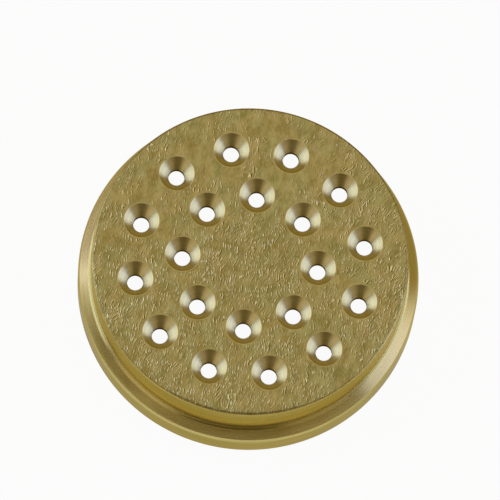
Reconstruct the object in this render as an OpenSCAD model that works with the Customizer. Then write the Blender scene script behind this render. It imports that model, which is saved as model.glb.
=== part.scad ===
// Pasta extrusion die, turned from one piece of brass and drilled with two rings of holes.
// The die stands on its outlet side. Its axis is Z, and z = 0 is the underside of the flange.
// Dough enters the countersunk holes in the inlet face on top, and the strands leave
// through the open recess below.

/* [Flange] */
// Outer diameter of the flange that the ring nut clamps
flange_d = 59; // [57:0.5:66]
// Height of the straight rim of the flange
flange_h = 6; // [2:0.1:10]

/* [Seat] */
// Height of the conical seat between the flange and the neck
seat_h = 2.3; // [1:0.1:6]

/* [Neck] */
// Diameter of the neck that enters the barrel of the extruder
neck_d = 54.6; // [50:0.2:57]
// Height of the neck, from the conical seat to the inlet face
neck_h = 8.4; // [6:0.1:14]
// Wall between the outside of the neck and the recess on the outlet side
neck_wall = 2; // [1.4:0.1:3]

/* [Holes] */
// Diameter of the bore that sizes the strand
bore_d = 2.8; // [1.6:0.1:4]
// Length of the straight bore below the countersink
land_l = 1; // [0.3:0.1:3]
// Diameter of the countersink at the inlet face
sink_d = 6.1; // [4.5:0.1:7]
// Included angle of the countersink
sink_angle = 60; // [50:5:90]

/* [Rings of holes] */
// Number of holes in the outer ring
outer_count = 12; // [6:1:16]
// Pitch circle diameter of the outer ring
outer_pcd = 40; // [38:0.2:42]
// Number of holes in the inner ring
inner_count = 8; // [4:1:10]
// Pitch circle diameter of the inner ring
inner_pcd = 23.4; // [21:0.2:25]

/* [Edges] */
// Rounding of the edge of the inlet face
face_edge_r = 0.4; // [0.1:0.1:1]
// Rounding of the lower edge of the flange
foot_edge_r = 0.3; // [0.1:0.1:1]
// Chamfer on the upper edge of the flange, measured down its rim
flange_chamfer = 0.3; // [0.1:0.1:1]
// Radius of the relief groove between the neck and the conical seat
relief_r = 0.25; // [0.1:0.05:0.5]
// Fillet in the corner between the recess wall and the plate
recess_root_r = 0.8; // [0.2:0.1:1.5]
// Chamfer around the mouth of the recess
mouth_chamfer = 0.6; // [0.2:0.1:1.5]

/* [Hidden] */
$fn = 96;
overshoot = 0.5;
brass = [0.66, 0.59, 0.37];

flange_r = flange_d / 2;
neck_r = neck_d / 2;
recess_r = neck_r - neck_wall;
seat_z = flange_h + seat_h;
face_z = seat_z + neck_h;
seat_slope = (flange_r - neck_r) / seat_h;
sink_slope = tan(sink_angle / 2);
sink_depth = (sink_d - bore_d) / 2 / sink_slope;
plate_z = face_z - sink_depth - land_l;
outer_turn = 180 / outer_count;

// What rounds off the upper right corner of an outline, with that corner at the origin
module corner_sliver(radius) {
    difference() {
        translate([-radius, -radius]) square(radius + overshoot);
        translate([-radius, -radius]) circle(r = radius);
    }
}

// Half section of the turned blank, before the recess is cut
module blank_section() {
    difference() {
        polygon([
            [0, 0],
            [flange_r, 0],
            [flange_r, flange_h - flange_chamfer],
            [flange_r - flange_chamfer * seat_slope, flange_h + flange_chamfer],
            [neck_r, seat_z],
            [neck_r, face_z],
            [0, face_z]
        ]);
        translate([neck_r, face_z]) corner_sliver(face_edge_r);
        translate([flange_r, 0]) mirror([0, 1]) corner_sliver(foot_edge_r);
        translate([neck_r, seat_z]) circle(r = relief_r);
    }
}

// Half section of the recess on the outlet side, up to the plate
module recess_section() {
    difference() {
        polygon([
            [0, -overshoot],
            [recess_r + mouth_chamfer + overshoot, -overshoot],
            [recess_r, mouth_chamfer],
            [recess_r, plate_z],
            [0, plate_z]
        ]);
        translate([recess_r, plate_z]) corner_sliver(recess_root_r);
    }
}

// One hole, from above the inlet face to below the plate
module countersunk_hole() {
    translate([0, 0, plate_z - overshoot])
        cylinder(d = bore_d, h = face_z - plate_z + overshoot);
    translate([0, 0, face_z - sink_depth])
        cylinder(d1 = bore_d, d2 = sink_d + 2 * overshoot * sink_slope, h = sink_depth + overshoot);
}

module hole_ring(count, pcd, first_angle) {
    for (i = [0 : count - 1])
        rotate(first_angle + i * 360 / count) translate([pcd / 2, 0, 0]) countersunk_hole();
}

module pasta_die() {
    color(brass) difference() {
        rotate_extrude() difference() {
            blank_section();
            recess_section();
        }
        hole_ring(outer_count, outer_pcd, outer_turn);
        hole_ring(inner_count, inner_pcd, 0);
    }
}

pasta_die();
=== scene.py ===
import math

import bpy
import numpy as np
from mathutils import Matrix, Vector


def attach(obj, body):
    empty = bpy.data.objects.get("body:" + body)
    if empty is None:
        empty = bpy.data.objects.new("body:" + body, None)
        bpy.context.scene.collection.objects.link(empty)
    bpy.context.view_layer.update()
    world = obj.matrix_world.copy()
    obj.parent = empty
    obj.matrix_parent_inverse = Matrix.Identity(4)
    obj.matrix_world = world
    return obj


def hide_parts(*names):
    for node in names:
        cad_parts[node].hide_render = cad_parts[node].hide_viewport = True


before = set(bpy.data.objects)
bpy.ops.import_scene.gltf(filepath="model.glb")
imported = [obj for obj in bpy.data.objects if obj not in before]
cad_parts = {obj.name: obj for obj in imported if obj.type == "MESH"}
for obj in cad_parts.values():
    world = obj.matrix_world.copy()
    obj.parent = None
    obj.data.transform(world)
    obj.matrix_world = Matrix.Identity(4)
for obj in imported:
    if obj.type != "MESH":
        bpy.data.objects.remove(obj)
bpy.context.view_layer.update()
print("frame loaded:", sorted(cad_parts))

mm = 0.001


def addObject(name, data):
    item = bpy.data.objects.new(name, data)
    bpy.context.scene.collection.objects.link(item)
    return item


# the die: one turned and drilled brass piece

dieSizes = {  # in millimetres, the same values as the solid
    "flangeD": 59.0, "flangeH": 6.0, "flangeChamfer": 0.3,
    "seatH": 2.3, "reliefR": 0.25,
    "neckD": 54.6, "neckH": 8.4, "neckWall": 2.0,
    "boreD": 2.8, "landL": 1.0, "sinkD": 6.1, "sinkAngle": 60.0,
    "outerCount": 12, "outerPcd": 40.0,
    "innerCount": 8, "innerPcd": 23.4,
    "faceEdgeR": 0.4, "footEdgeR": 0.3, "recessRootR": 0.8, "mouthChamfer": 0.6,
    "crispR": 0.05,        # rounding left on edges that the tool cut sharp
    "sinkLipR": 0.09,      # rounding of the countersinks' lips
    "chamferR": 0.12,      # rounding of the flange chamfer's two edges
    "grooveLipR": 0.03,    # rounding of the relief groove's two edges
    "grooveSteps": 16,     # points along the relief groove
    "lipFlat": 0.4, "exitFlat": 0.3,   # flat rows around a hole's lip and around its exit
    "wallStart": 1.0,      # where a straight wall's rows start, from its corner
    "recessLow": 1.5, "recessHigh": 2.0,   # the same on the recess wall, from the foot and from the plate
    "faceShare": 0.3,      # share of the rounded edge that has the face's finish
    "arcStep": 1.25,       # degrees between two meridians of the turned ring
    "sideSteps": 18,       # points on each straight side of a hole's tile
    "fan": (1.0, 0.8, 0.6, 0.4, 0.22, 0.1, 0.04),   # rows of a tile, from its outline in to the lip
    "discRows": (1.0, 0.66, 0.33, 0.0),             # rows of the plate's middle, from its outline in
}
onFace, onTurned, onSink = 0, 1, 2   # the three finishes, in the order of the material slots


# A polyline whose corners are rounded: each corner (distance, height, radius, steps) becomes an
# arc tangent to both neighbours. Returns distance, height and the outward normal of every row.
def roundedProfile(corners):
    pts = np.array([c[:2] for c in corners], float)
    rows = []
    for i, (d, z, radius, steps) in enumerate(corners):
        ahead = pts[min(i + 1, len(pts) - 1)] - pts[i]
        behind = pts[i] - pts[max(i - 1, 0)]
        if i == 0:
            behind = ahead
        if i == len(pts) - 1:
            ahead = behind
        behind, ahead = behind / np.hypot(*behind), ahead / np.hypot(*ahead)
        turn = math.atan2(behind[0] * ahead[1] - behind[1] * ahead[0], behind @ ahead)
        if radius <= 0 or abs(turn) < 1e-6:
            way = (behind + ahead) / np.hypot(*(behind + ahead))
            rows.append([[d, z, way[1], -way[0]]])
            continue
        side = np.array([-behind[1], behind[0]]) * np.sign(turn)   # towards the arc's centre
        start = pts[i] - behind * radius * math.tan(abs(turn) / 2)
        centre = start + side * radius
        a = np.linspace(0, turn, steps + 1)
        spoke = np.stack([np.cos(a) * -side[0] - np.sin(a) * -side[1],
                          np.sin(a) * -side[0] + np.cos(a) * -side[1]], 1)
        normal = spoke * np.sign(turn)
        rows.append(np.hstack([centre + spoke * radius, normal]))
    return np.vstack(rows)


# Closed loop around one hole's tile: a rectangle in angle and radius, walked anticlockwise.
def tileOutline(hole, pitch, rLow, rHigh, arcSteps, sideSteps):
    arc = np.linspace(-pitch / 2, pitch / 2, arcSteps, endpoint=False)
    rise = np.linspace(rLow, rHigh, sideSteps, endpoint=False)
    angle = np.concatenate([np.full(sideSteps, pitch / 2), -arc, np.full(sideSteps, -pitch / 2), arc])
    radius = np.concatenate([rise, np.full(arcSteps, rHigh), rLow + rHigh - rise, np.full(arcSteps, rLow)])
    angle = angle + hole
    return np.stack([radius * np.cos(angle), radius * np.sin(angle)], 1)


# Grid of quads between rows of equal length; the last column joins the first.
def gridFaces(rowCount, columnCount, first):
    i, j = np.meshgrid(np.arange(rowCount - 1), np.arange(columnCount), indexing="ij")
    nxt = (j + 1) % columnCount
    quads = np.stack([i * columnCount + j, (i + 1) * columnCount + j,
                      (i + 1) * columnCount + nxt, i * columnCount + nxt], -1)
    return quads.reshape(-1, 4) + first


# Hole tile: straight lines run from the tile's outline to the hole's lip; there the hole's profile
# (distance from the hole's axis, height) takes over and is carried round; below, lines run out again.
def holeTile(centre, outline, profile, fan, topZ, lowZ):
    spoke = outline - centre
    reach = np.hypot(spoke[:, 0], spoke[:, 1])
    unit = spoke / reach[:, None]
    lip, exitEdge = profile[0, 0], profile[-1, 0]
    topD = lip + fan[:, None] * (reach - lip)
    lowD = exitEdge + fan[::-1, None] * (reach - exitEdge)
    d = np.vstack([topD, np.repeat(profile[:, :1], len(reach), 1), lowD])
    z = np.concatenate([np.full(len(fan), topZ), profile[:, 1], np.full(len(fan), lowZ)])
    nd = np.concatenate([np.zeros(len(fan)), profile[:, 2], np.zeros(len(fan))])
    nz = np.concatenate([np.ones(len(fan)), profile[:, 3], -np.ones(len(fan))])
    xyz = np.empty(d.shape + (3,))
    xyz[..., :2] = centre + d[..., None] * unit
    xyz[..., 2] = z[:, None]
    normal = np.empty_like(xyz)
    normal[..., :2] = nd[:, None, None] * unit
    normal[..., 2] = nz[:, None]
    return xyz, normal, d


# Surface of revolution about Z: every profile row becomes a circle of the same number of points.
def turnedSurface(profile, columns):
    a = np.arange(columns) * 2 * math.pi / columns
    ring = np.stack([np.cos(a), np.sin(a)], 1)
    xyz = np.empty((len(profile), columns, 3))
    xyz[..., :2] = profile[:, None, :1] * ring
    xyz[..., 2] = profile[:, None, 1]
    normal = np.empty_like(xyz)
    normal[..., :2] = profile[:, None, 2:3] * ring
    normal[..., 2] = profile[:, None, 3]
    return xyz, normal


# The die: a tile around each hole, a turned ring outside the tiles and a disc inside them, above and
# below. The grids share the points on their outlines, so they close into one skin.
def makeDie(s):
    flangeR, neckR = s["flangeD"] / 2, s["neckD"] / 2
    seatZ = s["flangeH"] + s["seatH"]
    topZ = seatZ + s["neckH"]
    slope = math.tan(math.radians(s["sinkAngle"] / 2))
    landZ = topZ - (s["sinkD"] - s["boreD"]) / 2 / slope
    plateZ = landZ - s["landL"]
    recessR = neckR - s["neckWall"]
    mouthR = recessR + s["mouthChamfer"]
    outerR, innerR = s["outerPcd"] / 2, s["innerPcd"] / 2
    midR = (outerR + innerR) / 2
    lowR, highR = innerR - (midR - innerR), outerR + (outerR - midR)
    crisp, columns = s["crispR"], round(360 / s["arcStep"])

    # hole: lip, cone, straight land, exit edge
    holeProfile = roundedProfile([
        (s["sinkD"] / 2 + s["lipFlat"], topZ, 0, 0), (s["sinkD"] / 2, topZ, s["sinkLipR"], 5),
        ((s["sinkD"] + s["boreD"]) / 4, (topZ + landZ) / 2, 0, 0),
        (s["boreD"] / 2, landZ, crisp, 3), (s["boreD"] / 2, plateZ, crisp, 5),
        (s["boreD"] / 2 + s["exitFlat"], plateZ, 0, 0)])

    # outside and recess, from the face's edge over the flange and up into the recess
    grooveEnd, last = math.atan2(-s["seatH"], flangeR - neckR), s["grooveSteps"]
    grooveArc = np.linspace(math.pi / 2, grooveEnd + 2 * math.pi, last + 1)
    groove = [(neckR + s["reliefR"] * math.cos(a), seatZ + s["reliefR"] * math.sin(a),
               s["grooveLipR"] if i in (0, last) else 0, 3) for i, a in enumerate(grooveArc)]
    chamfer, chamferR, wall = s["flangeChamfer"], s["chamferR"], s["wallStart"]
    ringProfile = roundedProfile([
        (highR, topZ, 0, 0), (neckR - wall, topZ, 0, 0), (neckR, topZ, s["faceEdgeR"], 10),
        (neckR, topZ - wall, 0, 0), (neckR, seatZ + wall, 0, 0), *groove,
        (flangeR - chamfer * (flangeR - neckR) / s["seatH"], s["flangeH"] + chamfer, chamferR, 3),
        (flangeR, s["flangeH"] - chamfer, chamferR, 3), (flangeR, wall, 0, 0),
        (flangeR, 0, s["footEdgeR"], 9), (flangeR - wall, 0, 0, 0),
        (mouthR, 0, crisp, 3), (recessR, s["mouthChamfer"], crisp, 3),
        (recessR, s["recessLow"], 0, 0), (recessR, plateZ - s["recessHigh"], 0, 0),
        (recessR, plateZ, s["recessRootR"], 9), (highR, plateZ, 0, 0)])
    ringProfile[:, 2:] *= -1   # walked clockwise in the half section, so the normal turns over

    # finish of each row of faces, and how far its points are from the nearest edge
    fan = np.array(s["fan"])
    tileZone = np.repeat([onFace, onSink, onTurned], [len(fan) + 1, len(holeProfile) - 3, len(fan) + 1])
    ringZone = np.where(ringProfile[:-1, 1] > topZ - s["faceEdgeR"] * s["faceShare"], onFace, onTurned)
    edges = np.array([(neckR, topZ), (flangeR, s["flangeH"]), (flangeR, 0), (mouthR, 0),
                      (recessR, s["mouthChamfer"])])
    ringGap = np.hypot(*(ringProfile[:, None, :2] - edges).transpose(2, 0, 1)).min(1)
    pieces = []
    rings = ((s["outerCount"], outerR, math.pi / s["outerCount"], midR, highR),
             (s["innerCount"], innerR, 0.0, lowR, midR))
    for count, pitchR, turn, rLow, rHigh in rings:
        pitch = 2 * math.pi / count
        for k in range(count):
            hole = turn + k * pitch
            centre = pitchR * np.array([math.cos(hole), math.sin(hole)])
            outline = tileOutline(hole, pitch, rLow, rHigh, columns // count, s["sideSteps"])
            xyz, normal, d = holeTile(centre, outline, holeProfile, fan, topZ, plateZ)
            gap = np.hypot(d - s["sinkD"] / 2, xyz[..., 2] - topZ)
            pieces.append((xyz, normal, gap, tileZone))
    pieces.append((*turnedSurface(ringProfile, columns), np.repeat(ringGap[:, None], columns, 1), ringZone))
    for z, up, finish in ((topZ, 1, onFace), (plateZ, -1, onTurned)):   # middle of the plate, above and below
        disc = np.array([[lowR * share, z, 0, up] for share in s["discRows"]])
        pieces.append((*turnedSurface(disc, columns), np.ones((len(disc), columns)),
                       np.full(len(disc) - 1, finish)))
    grids, normals, gaps, zones = zip(*pieces)
    quads, first = [], 0
    for grid in grids:
        quads.append(gridFaces(*grid.shape[:2], first))
        first += grid.shape[0] * grid.shape[1]
    quads = np.concatenate(quads)
    xyz = np.concatenate([grid.reshape(-1, 3) for grid in grids])
    normal = np.concatenate([n.reshape(-1, 3) for n in normals])
    gap = np.concatenate([g.reshape(-1) for g in gaps]).clip(0, 1)
    zone = np.concatenate([np.repeat(rowZone, grid.shape[1]) for rowZone, grid in zip(zones, grids)])

    # points that several grids share become one
    _, keep, same = np.unique(np.round(xyz, 5), axis=0, return_index=True, return_inverse=True)
    xyz, normal, gap, quads = xyz[keep], normal[keep], gap[keep], same.reshape(-1)[quads]
    normal /= np.linalg.norm(normal, axis=1, keepdims=True)

    # each face is turned so that it agrees with its points' normals, and those without area go
    a, b, c, d = (xyz[quads[:, i]] for i in range(4))
    across = np.cross(c - a, d - b)
    facing = np.einsum("ij,ij->i", across, normal[quads].sum(1))
    quads[facing < 0] = quads[facing < 0][:, ::-1]
    whole = np.linalg.norm(across, axis=1) > 1e-9
    faces = [tuple(dict.fromkeys(q)) for q in quads[whole].tolist()]

    mesh = bpy.data.meshes.new("dieBody")
    mesh.from_pydata((xyz * mm).tolist(), [], faces)
    mesh.polygons.foreach_set("use_smooth", np.ones(len(mesh.polygons), bool))
    mesh.polygons.foreach_set("material_index", zone[whole].astype(np.int32))
    mesh.attributes.new("edgeGap", "FLOAT", "POINT").data.foreach_set("value", gap.astype(np.float32))
    mesh.update()
    mesh.normals_split_custom_set_from_vertices(normal.tolist())
    print("die:", len(xyz), "points,", len(faces), "faces")
    return addObject("dieBody", mesh)


die = makeDie(dieSizes)


# shader maths as plain expressions

class Wire:
    def __init__(self, tree, socket=None):
        self.tree, self.socket = tree, socket

    def make(self, kind, settings=None, sockets=None, out=0):
        node = self.tree.nodes.new(kind)
        for key, value in (settings or {}).items():
            setattr(node, key, value)
        for key, value in (sockets or {}).items():
            if isinstance(value, Wire):
                self.tree.links.new(value.socket, node.inputs[key])
            else:
                node.inputs[key].default_value = value
        return Wire(self.tree, node.outputs[out] if node.outputs else None)

    def other(self, out):   # another output of the same node
        return Wire(self.tree, self.socket.node.outputs[out])

    def maths(self, operation, *values):
        return self.make("ShaderNodeMath", {"operation": operation}, dict(enumerate(values)))

    def __add__(self, v): return self.maths("ADD", self, v)
    def __radd__(self, v): return self.maths("ADD", v, self)
    def __sub__(self, v): return self.maths("SUBTRACT", self, v)
    def __rsub__(self, v): return self.maths("SUBTRACT", v, self)
    def __mul__(self, v): return self.maths("MULTIPLY", self, v)
    def __rmul__(self, v): return self.maths("MULTIPLY", v, self)
    def __truediv__(self, v): return self.maths("DIVIDE", self, v)
    def __rtruediv__(self, v): return self.maths("DIVIDE", v, self)

    def larger(self, v): return self.maths("MAXIMUM", self, v)
    def smaller(self, v): return self.maths("MINIMUM", self, v)
    def size(self): return self.maths("ABSOLUTE", self)

    def step(self, low, high):   # 0 below low, 1 above high, smooth between
        return self.make("ShaderNodeMapRange", {"interpolation_type": "SMOOTHSTEP"},
                         {"Value": self, "From Min": low, "From Max": high})

    def blend(self, below, above):   # colour below where the wire is 0, above where it is 1
        return self.make("ShaderNodeMix", {"data_type": "RGBA"}, {0: self, 6: below, 7: above}, out=2)


def linear(r, g, b):   # a colour as it shows on the screen, 0 to 255, for a shader
    return tuple(c / 12.92 if c <= 0.04045 else ((c + 0.055) / 1.055) ** 2.4
                 for c in (r / 255, g / 255, b / 255)) + (1.0,)


def startMaterial(name):
    mat = bpy.data.materials.new(name)
    mat.use_nodes = True
    mat.node_tree.nodes.clear()
    w = Wire(mat.node_tree)
    return mat, w, w.make("ShaderNodeTexCoord", {}, {}, out="Object")


edgeTint = linear(224, 211, 168)   # brass seen at a slant


def finishBrass(w, colour, rough, height):   # height in millimetres
    normal = w.make("ShaderNodeBump", {}, {"Strength": 1.0, "Distance": mm, "Height": height})
    shader = w.make("ShaderNodeBsdfPrincipled", {}, {
        "Base Color": colour, "Metallic": 1.0, "Roughness": rough, "Normal": normal,
        "Specular Tint": edgeTint})
    w.make("ShaderNodeOutputMaterial", {}, {"Surface": shader})


def noise(w, kind, place, scale, detail, out=0):   # kind is 1D, 2D or 3D
    return w.make("ShaderNodeTexNoise", {"noise_dimensions": kind},
                  {"W" if kind == "1D" else "Vector": place, "Scale": scale, "Detail": detail}, out=out)


def axisDistance(w, place):   # in millimetres
    plan = w.make("ShaderNodeVectorMath", {"operation": "MULTIPLY"}, {0: place, 1: (1.0, 1.0, 0.0)})
    return w.make("ShaderNodeVectorMath", {"operation": "LENGTH"}, {0: plan}, out="Value") / mm


# A pattern's own coordinates: turned, and stretched so that 1 is its length one way and its width the other.
def stretched(w, place, lay, shift=0.0):
    return w.make("ShaderNodeMapping", {"vector_type": "TEXTURE"}, {
        "Vector": place, "Location": (shift * mm, -shift * mm, 0),
        "Rotation": (0, 0, math.radians(lay["turn"])),
        "Scale": (lay["length"] * mm, lay["width"] * mm, 1)})


# the inlet face: brushed, then scratched in use

faceLook = {   # lengths and spans in millimetres, spans along y from the front to the back
    "low": linear(144, 132, 72), "high": linear(188, 177, 120),           # the brushed ground, dark and light
    "lowWarm": linear(148, 131, 70), "highWarm": linear(192, 174, 116),   # and where it is redder
    "hueScale": 240.0, "hueSpan": (0.35, 0.65),
    "grain": {"turn": 84, "length": 0.8, "width": 0.26}, "grainTone": 1.1,
    "blots": {"turn": 78, "length": 2.6, "width": 1.5}, "blotTone": 1.15,
    "tone": 0.55, "middleTone": 0.09, "aheadTone": 0.06,       # the middle and the front are a little darker
    "aheadSpan": (-20.0, 22.0), "middleSpan": (6.0, 12.0),     # where the front ends, and the middle
    "aheadShare": 0.85, "middleShare": 0.6, "baseShare": 0.42,   # how far the scratches crowd there, and elsewhere
    "patchScale": 150.0, "patchGain": 3.6,                     # and in patches
    "wanderScale": 230.0, "wander": 1.6,                       # how the scratches stray
    # the scratches' two flank colours are painted light: a painted highlight on one flank, painted shade on the
    # other
    "strokePaintedHighlight": linear(246, 230, 178), "strokePaintedShade": linear(82, 64, 22), "paintedShadeShare": 0.85,
    "strokeHeight": 0.018, "grainShare": 0.4,                  # the grain's height as a share of the strokes'
    "clearSpan": (0.12, 0.5),                                  # the scratches stop this short of an edge
    "stroke": {"scatter": 0.9, "taper": (0.18, 0.42), "strong": 1.75, "faint": 0.14,   # in shares of its cell
               "pickEdge": 0.02, "litAt": 0.14, "shadedFlankAt": -0.16, "flank": (0.02, 0.2), "ridge": 0.3},
    "strokeLayers": (   # direction, size, share of cells, and the side of the rim that it keeps to
        {"turn": 86, "length": 1.3, "width": 0.42, "lean": 1.4, "share": 0.52, "shift": 3.0, "side": None},
        {"turn": 81, "length": 1.0, "width": 0.3, "lean": 1.6, "share": 0.5, "shift": 17.0, "side": None},
        {"turn": 93, "length": 0.85, "width": 0.36, "lean": 1.4, "share": 0.42, "shift": 53.0, "side": None},
        {"turn": 72, "length": 1.1, "width": 0.4, "lean": 1.4, "share": 0.5, "shift": 71.0, "side": 232},
        {"turn": 58, "length": 1.4, "width": 0.42, "lean": 1.5, "share": 0.6, "shift": 31.0, "side": 22},
        {"turn": 80, "length": 0.6, "width": 0.5, "lean": 0.8, "share": 0.13, "shift": 43.0, "side": None}),
    "sideSpan": (12.0, 24.0), "sideGain": 1.4,
    "edgeWornAndHighlight": linear(228, 196, 118), "wearAndHighlightSpan": (0.04, 0.32),   # edges rubbed bright by wear, with a painted highlight on them
    "lipShare": 0.15, "rimShare": 0.45, "rimInset": (2.1, 1.1),
    "edgeWear": 0.8, "edgeLean": 0.32, "leanInset": (2.8, 1.8),     # the rim is worn to a slope
    "wornBack": (-3.0, 12.0), "wornFront": (-18.0, -10.0),          # at its sides
    "wornFoot": (-25.5, -23.5), "footShare": 0.7,                   # and less so at the very front
    "rough": 0.40, "roughGrain": 0.2, "strokePolish": 0.06,
}


# One layer of scratches: the plane is cut into stretched random cells, and each cell that is picked holds
# one short stroke along its length; returns the stroke's lit flank (painted highlight), its dark flank (painted
# shade) and its ridge.
def strokes(w, place, crowd, layer, form):
    cell = stretched(w, place, layer, layer["shift"])
    spot = w.make("ShaderNodeTexVoronoi", {"voronoi_dimensions": "2D", "feature": "F1"},
                  {"Vector": cell, "Scale": 1.0, "Randomness": form["scatter"]})
    off = w.make("ShaderNodeVectorMath", {"operation": "SUBTRACT"}, {0: cell, 1: spot.other("Position")})
    along = w.make("ShaderNodeSeparateXYZ", {}, {"Vector": off})
    chance = w.make("ShaderNodeSeparateColor", {}, {"Color": spot.other("Color")})
    bend, force = chance.other(1), chance.other(2)
    across = along.other(1) + along * ((bend - 0.5) * layer["lean"])
    body = (1 - along.size().step(*form["taper"])) * (force * force * force * form["strong"] + form["faint"])
    body = body * (crowd * layer["share"] - chance).step(-form["pickEdge"], form["pickEdge"])
    # painted highlight on one flank of the stroke, painted shade on the other
    lit = 1 - (across - form["litAt"]).size().step(*form["flank"])
    dark = 1 - (across - form["shadedFlankAt"]).size().step(*form["flank"])
    ridge = 1 - across.size().step(0.0, form["ridge"])
    return body * lit, body * dark, body * ridge


def faceMaterial(look, s):
    mat, w, place = startMaterial("scratchedFace")
    gap = w.make("ShaderNodeAttribute", {"attribute_name": "edgeGap"}, {}, out="Fac")
    y = w.make("ShaderNodeSeparateXYZ", {}, {"Vector": place}, out=1) / mm
    r = axisDistance(w, place)
    ahead, middle = 1 - y.step(*look["aheadSpan"]), 1 - r.step(*look["middleSpan"])

    # scratches: most are in the middle and towards the front, and two layers keep to one side of the rim
    wander = noise(w, "2D", place, look["wanderScale"], 1.0, out="Color")
    bent = w.make("ShaderNodeVectorMath", {"operation": "MULTIPLY_ADD"},
                  {0: wander, 1: (look["wander"] * mm, look["wander"] * mm, 0), 2: place})
    patches = noise(w, "2D", place, look["patchScale"], 2.0)
    dense = ahead * look["aheadShare"] + middle * look["middleShare"]
    dense = dense + (patches - 0.5) * look["patchGain"] + look["baseShare"]
    marks = []
    for layer in look["strokeLayers"]:
        crowd = dense
        if layer["side"] is not None:
            a = math.radians(layer["side"])
            reach = w.make("ShaderNodeVectorMath", {"operation": "DOT_PRODUCT"},
                           {0: place, 1: (math.cos(a), math.sin(a), 0)}, out="Value")
            crowd = (reach / mm).step(*look["sideSpan"]) * look["sideGain"]
        marks.append(strokes(w, bent, crowd, layer, look["stroke"]))
    lit, dark, ridge = marks[0]
    for layerLit, layerShaded, layerRidge in marks[1:]:
        lit, dark, ridge = lit.larger(layerLit), dark.larger(layerShaded), ridge + layerRidge
    clear = gap.step(*look["clearSpan"])
    lit, dark, ridge = lit * clear, dark * clear, ridge * clear

    # colour: the brushed ground, the scratches on it with a painted highlight and painted shade on their flanks,
    # and the edges, worn bright with a painted highlight
    brushed = noise(w, "2D", stretched(w, bent, look["grain"]), 1.0, 2.0)
    mottle = noise(w, "2D", stretched(w, place, look["blots"]), 1.0, 3.0)
    hue = noise(w, "2D", place, look["hueScale"], 2.0).step(*look["hueSpan"])
    tone = (mottle - 0.5) * look["blotTone"] + (brushed - 0.5) * look["grainTone"] + look["tone"]
    tone = tone - middle * look["middleTone"] - ahead * look["aheadTone"]
    low, high = hue.blend(look["low"], look["lowWarm"]), hue.blend(look["high"], look["highWarm"])
    colour = tone.step(0.0, 1.0).blend(low, high)
    colour = (dark * look["paintedShadeShare"]).blend(colour, look["strokePaintedShade"])
    colour = lit.blend(colour, look["strokePaintedHighlight"])
    rim, slope = (r.step(*(s["neckD"] / 2 - inset for inset in look[name])) for name in ("rimInset", "leanInset"))
    # edges worn bright, with a painted highlight laid along them
    rubbedAndHighlit = (1 - gap.step(*look["wearAndHighlightSpan"])) * (rim * look["rimShare"] + look["lipShare"])
    colour = rubbedAndHighlit.blend(colour, look["edgeWornAndHighlight"])
    rough = look["rough"] + (brushed - 0.5) * look["roughGrain"] - lit * look["strokePolish"]

    # relief: grain, strokes, and the rim's worn slope
    height = (brushed * look["grainShare"] + ridge) * look["strokeHeight"]
    drop = 1 - (gap / look["edgeWear"]).smaller(1.0)
    worn = (1 - y.step(*look["wornBack"])) * y.step(*look["wornFront"])
    worn = worn + (1 - y.step(*look["wornFoot"])) * look["footShare"]
    height = height - drop * drop * (slope * worn * (look["edgeWear"] * look["edgeLean"]))
    finishBrass(w, colour, rough, height)
    return mat


# the turned walls: rim, seat, neck and recess

turnedLook = {   # lengths in millimetres
    "gold": linear(213, 197, 126), "dark": linear(175, 156, 78),
    "seatPaintedHighlight": linear(212, 193, 158), "seatHighlightShare": 0.25,   # painted highlight: paled so that the seat's highlights look pale
    # painted highlight: the low part of the neck is made paler, standing in for light it reflects
    "neckPaintedHighlight": linear(238, 222, 146), "neckHighlightShare": 0.6, "neckFade": (1.5, 5.5),
    "fade": 0.3,                                            # from one part of the wall to the next
    "lineScale": 9.0, "bandScale": 1.5,                     # turning marks to a millimetre
    "streakScale": 90.0, "streakSquash": 7.0,
    "lineTone": 0.4, "bandTone": 0.5, "streakTone": 1.1, "tone": 0.6,
    "lineHeight": 0.0014,
    "seatDrop": 0.68,                                       # fall of the seat along its slope
    "rootWidth": 0.35, "rootLean": 0.25,                    # the seat is burnished at the neck's root
    "grooveLean": 0.6, "grooveInset": (-1.0, 0.7), "grooveSpan": (-0.4, -0.3),   # the groove leans outward
    "rough": 0.25, "roughStreak": 0.15, "roughLine": 0.1,
}


# Turning marks run round the axis, so they change only with height; returns the height in millimetres too.
def turningMarks(w, place, look):
    z = w.make("ShaderNodeSeparateXYZ", {}, {"Vector": place}, out=2) / mm
    return z, noise(w, "1D", z, look["lineScale"], 2.0), noise(w, "1D", z, look["bandScale"], 1.0)


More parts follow.
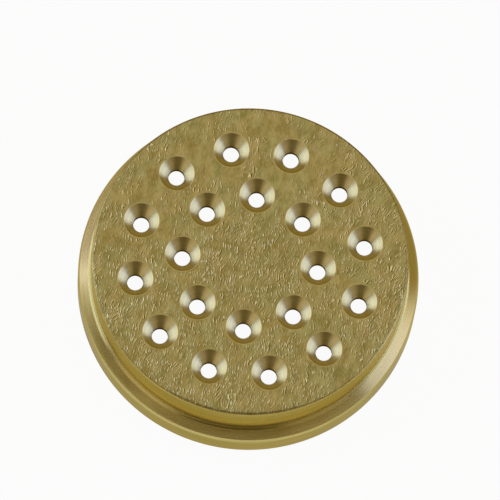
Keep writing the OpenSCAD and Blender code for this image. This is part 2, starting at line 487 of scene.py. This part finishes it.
def turnedMaterial(look, s):
    mat, w, place = startMaterial("turnedBrass")
    z, lines, bands = turningMarks(w, place, look)
    drawn = w.make("ShaderNodeVectorMath", {"operation": "MULTIPLY"},
                   {0: place, 1: (1.0, 1.0, look["streakSquash"])})
    streaks = noise(w, "3D", drawn, look["streakScale"], 3.0)
    tone = (lines - 0.5) * look["lineTone"] + (bands - 0.5) * look["bandTone"]
    tone = tone + (streaks - 0.5) * look["streakTone"] + look["tone"]
    colour = tone.blend(look["dark"], look["gold"])
    rimZ, seatZ, fade = s["flangeH"], s["flangeH"] + s["seatH"], look["fade"]
    aboveSeat = z.step(seatZ, seatZ + fade)
    onSeat = z.step(rimZ, rimZ + fade) * (1 - aboveSeat)
    # where the painted highlight on the neck lies
    lowNeck = aboveSeat * (1 - z.step(*(seatZ + h for h in look["neckFade"])))
    # painted highlight: the seat is paled all round
    colour = (onSeat * look["seatHighlightShare"]).blend(colour, look["seatPaintedHighlight"])
    colour = (lowNeck * look["neckHighlightShare"]).blend(colour, look["neckPaintedHighlight"])
    rough = look["rough"] + (streaks - 0.5) * look["roughStreak"] + (lines - 0.5) * look["roughLine"]

    # relief: the marks, the burnished root and the groove
    rootZ = seatZ - s["reliefR"] * look["seatDrop"]
    root = z.larger(rootZ - look["rootWidth"]).smaller(rootZ)
    innerR, outerR = (s["neckD"] / 2 + k * s["reliefR"] for k in look["grooveInset"])
    hollow = axisDistance(w, place).larger(innerR).smaller(outerR) - outerR
    inGroove = z.step(*(rootZ + h for h in look["grooveSpan"]))
    height = lines * look["lineHeight"] - root * (look["rootLean"] / look["seatDrop"])
    height = height - hollow * inGroove * look["grooveLean"]
    finishBrass(w, colour, rough, height)
    return mat


# the countersinks and their bores

sinkLook = {   # lengths in millimetres
    "gold": linear(224, 211, 170), "dark": linear(192, 172, 106),
    "boreShade": linear(64, 46, 20), "landFade": (-0.02, 0.12),
    "lineScale": 7.0, "bandScale": 2.5, "cloudScale": 200.0,
    "lineTone": 0.5, "bandTone": 1.1, "cloudTone": 0.3, "tone": 0.68,
    "lean": 0.58, "pitch": 0.3, "wave": 0.005, "drift": 3.0,   # tool marks
    "rough": 0.31, "roughCloud": 0.1,
}


# The countersink's tool marks: the crests that the light meets lean back from the wall by a steady slope,
# and a fine wave on top of that spreads the light along the wall.
def sinkMaterial(look, s):
    mat, w, place = startMaterial("cutCountersink")
    z, lines, bands = turningMarks(w, place, look)
    cloud = noise(w, "3D", place, look["cloudScale"], 2.0)
    tone = (lines - 0.5) * look["lineTone"] + (bands - 0.5) * look["bandTone"]
    tone = tone + (cloud - 0.5) * look["cloudTone"] + look["tone"]
    colour = tone.blend(look["dark"], look["gold"])
    halfAngle = math.radians(s["sinkAngle"] / 2)
    sinkDepth = (s["sinkD"] - s["boreD"]) / 2 / math.tan(halfAngle)
    landZ = s["flangeH"] + s["seatH"] + s["neckH"] - sinkDepth
    onCone = z.step(*(landZ + h for h in look["landFade"]))
    colour = onCone.blend(look["boreShade"], colour)
    rough = look["rough"] + (cloud - 0.5) * look["roughCloud"]
    wave = z.maths("SINE", z * (2 * math.pi / look["pitch"]) + bands * look["drift"])
    height = wave * look["wave"] - z.larger(landZ) * (look["lean"] / math.cos(halfAngle))
    finishBrass(w, colour, rough, height)
    return mat


for maker, look in ((faceMaterial, faceLook), (turnedMaterial, turnedLook), (sinkMaterial, sinkLook)):
    die.data.materials.append(maker(look, dieSizes))
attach(die, "root")
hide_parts("pasta_die")
print("brass:", len(die.data.materials), "finishes")


# floor, sky and lamps

white = (1.0, 1.0, 1.0, 1.0)
stageSet = {   # in metres
    "floorColour": (0.86, 0.86, 0.86, 1.0), "floorReach": 1.6, "floorDrop": 0.00005, "floorSides": 96,
    "floorWhite": 0.95,                     # share of plain white that the floor shows
    # the floor as the metal sees it, painted: painted shade under the die and beside it, and further out painted
    # light and shade by direction, brighter than white at the front and sides
    "insidePaintedShade": (0.3, 0.22, 0.05, 1.0), "insideEdge": (0.97, 1.01),   # in shares of the flange
    "shadeNear": (0.65, 0.65, 0.65, 1.0), "nearReach": 0.07,
    "frontPaintedLight": (1.15, 1.22, 1.18, 1.0), "sidePaintedLight": (1.5, 1.5, 1.75, 1.0),
    "shadeBack": (0.44, 0.345, 0.1, 1.0),
    "sideTurn": (-0.34, -0.1), "sideSkew": 0.12, "backTurn": (0.06, 0.2),   # -1 in front, 1 behind
    "skyLow": (0.205, 0.152, 0.047, 1.0), "skyFront": (0.125, 0.095, 0.03, 1.0),
    "skyBack": (0.265, 0.198, 0.032, 1.0), "skyRise": (0.25, 0.5), "skyTurn": (-0.2, 0.5),
    "lamps": {   # glow 1 is white
        "leftBox": {"at": (-0.44, 0.055, 0.38), "size": (0.44, 0.54), "glow": 1.55, "colour": (0.66, 0.79, 1.0)},
        "leftWing": {"at": (-0.345, -0.345, 0.37), "size": (0.3, 0.5), "glow": 0.6, "colour": (1.0, 0.88, 0.6)},
        "leftLow": {"at": (-0.43, 0.19, 0.05), "size": (0.32, 0.1), "glow": 3.0, "colour": (0.47, 0.54, 1.0)},
        "rightBox": {"at": (0.44, 0.01, 0.39), "size": (0.42, 0.5), "glow": 1.73, "colour": (0.57, 0.69, 1.0)},
        "rightWing": {"at": (0.325, -0.38, 0.37), "size": (0.3, 0.5), "glow": 0.33, "colour": (1.0, 0.86, 0.55)},
        "rightLow": {"at": (0.44, -0.1, 0.05), "size": (0.25, 0.1), "glow": 1.75, "colour": (0.43, 0.5, 1.0)},
        "topPanel": {"at": (0.0, 0.16, 0.62), "size": (0.5, 0.5), "glow": 0.68, "colour": (1.0, 1.0, 1.0),
                     "aimZ": 0.01},   # the others look level
    },
}


def floorMaterial(s):
    mat, w, place = startMaterial("paleFloor")
    r = w.make("ShaderNodeVectorMath", {"operation": "LENGTH"}, {0: place}, out="Value")
    edge = dieSizes["flangeD"] / 2 * mm
    x = w.make("ShaderNodeSeparateXYZ", {}, {"Vector": place})
    way = x.other(1) / r
    beside = (way + x / r * s["sideSkew"]).step(*s["sideTurn"])
    # painted shade and light on the floor, shown only to reflections: shade under and beside the die, pools
    # brighter than white to the front and sides
    far = way.step(*s["backTurn"]).blend(beside.blend(s["frontPaintedLight"], s["sidePaintedLight"]), s["shadeBack"])
    outside = r.step(edge, s["nearReach"]).blend(s["shadeNear"], far)
    shade = r.step(*(edge * k for k in s["insideEdge"])).blend(s["insidePaintedShade"], outside)
    ray = w.make("ShaderNodeLightPath", {}, {}, out="Is Camera Ray")
    plain, gloss = ray.larger(ray.other("Is Transmission Ray")), ray.other("Is Glossy Ray")
    paper = w.make("ShaderNodeBsdfDiffuse", {}, {"Color": s["floorColour"]})
    glow = w.make("ShaderNodeEmission", {}, {"Color": gloss.blend(white, shade), "Strength": 1.0})
    shown = (plain * s["floorWhite"]).larger(gloss)
    top = w.make("ShaderNodeMixShader", {}, {0: shown, 1: paper, 2: glow})
    below = w.make("ShaderNodeNewGeometry", {}, {}, out="Backfacing")   # clear when seen from below
    clear = w.make("ShaderNodeBsdfTransparent", {}, {})
    surface = w.make("ShaderNodeMixShader", {}, {0: below, 1: top, 2: clear})
    w.make("ShaderNodeOutputMaterial", {}, {"Surface": surface})
    return mat


# Floor: a flat disc just under the die. Sky: dark in front, warm behind, white to the camera.
def makeStage(s):
    a = np.linspace(0, 2 * math.pi, s["floorSides"], endpoint=False)
    ring = np.stack([np.cos(a) * s["floorReach"], np.sin(a) * s["floorReach"], np.full(len(a), -s["floorDrop"])], 1)
    mesh = bpy.data.meshes.new("floor")
    mesh.from_pydata(ring.tolist(), [], [tuple(range(len(a)))])
    mesh.materials.append(floorMaterial(s))
    floor = addObject("floor", mesh)

    world = bpy.data.worlds.new("studio")
    bpy.context.scene.world = world
    world.use_nodes = True
    w = Wire(world.node_tree)
    way = w.make("ShaderNodeTexCoord", {}, {}, out="Generated")
    y = w.make("ShaderNodeSeparateXYZ", {}, {"Vector": way}, out=1)
    front = y.other(2).step(*s["skyRise"]).blend(s["skyLow"], s["skyFront"])
    sky = y.step(*s["skyTurn"]).blend(front, s["skyBack"])
    sky = w.make("ShaderNodeLightPath", {}, {}, out="Is Camera Ray").blend(sky, white)
    world.node_tree.links.new(sky.socket, world.node_tree.nodes["Background"].inputs["Color"])

    for name, lamp in s["lamps"].items():
        light = bpy.data.lights.new(name, "AREA")
        light.shape = "RECTANGLE"
        light.size, light.size_y = lamp["size"]
        light.color = lamp["colour"]
        light.energy = lamp["glow"] * math.pi * lamp["size"][0] * lamp["size"][1]
        holder = addObject(name, light)
        holder.location = lamp["at"]
        aim = Vector((0, 0, lamp.get("aimZ", lamp["at"][2])))
        holder.rotation_euler = (aim - Vector(lamp["at"])).to_track_quat("-Z", "Y").to_euler()
    print("stage:", len(s["lamps"]), "lamps")


makeStage(stageSet)


cameraSet = {   # degrees and metres; lens and sensor in millimetres
    "lens": 576.0, "sensor": 36.0, "distance": 1.3743,
    "azimuth": -1.5, "elevation": 75.31, "roll": 7.39,
    "slideRight": -0.00007, "slideUp": 0.00187,
    "aim": (0, 0, 0.0167), "clip": (0.05, 6.0),
}


def makeCamera(c):
    a, e, k = (math.radians(c[n]) for n in ("azimuth", "elevation", "roll"))
    forward = Vector((-math.sin(a) * math.cos(e), math.cos(a) * math.cos(e), -math.sin(e)))
    right = Vector((math.cos(a), math.sin(a), 0))
    up = right.cross(forward)
    right, up = right * math.cos(k) + up * math.sin(k), up * math.cos(k) - right * math.sin(k)
    data = bpy.data.cameras.new("camera")
    data.lens, data.sensor_width = c["lens"], c["sensor"]
    data.clip_start, data.clip_end = c["clip"]
    camera = addObject("camera", data)
    place = Vector(c["aim"]) - forward * c["distance"] + right * c["slideRight"] + up * c["slideUp"]
    turn = Matrix((right, up, -forward)).transposed()
    camera.matrix_world = Matrix.Translation(place) @ turn.to_4x4()
    bpy.context.scene.camera = camera
    print("camera:", c["lens"], "mm lens")


makeCamera(cameraSet)
bpy.context.scene.view_settings.view_transform = "Standard"
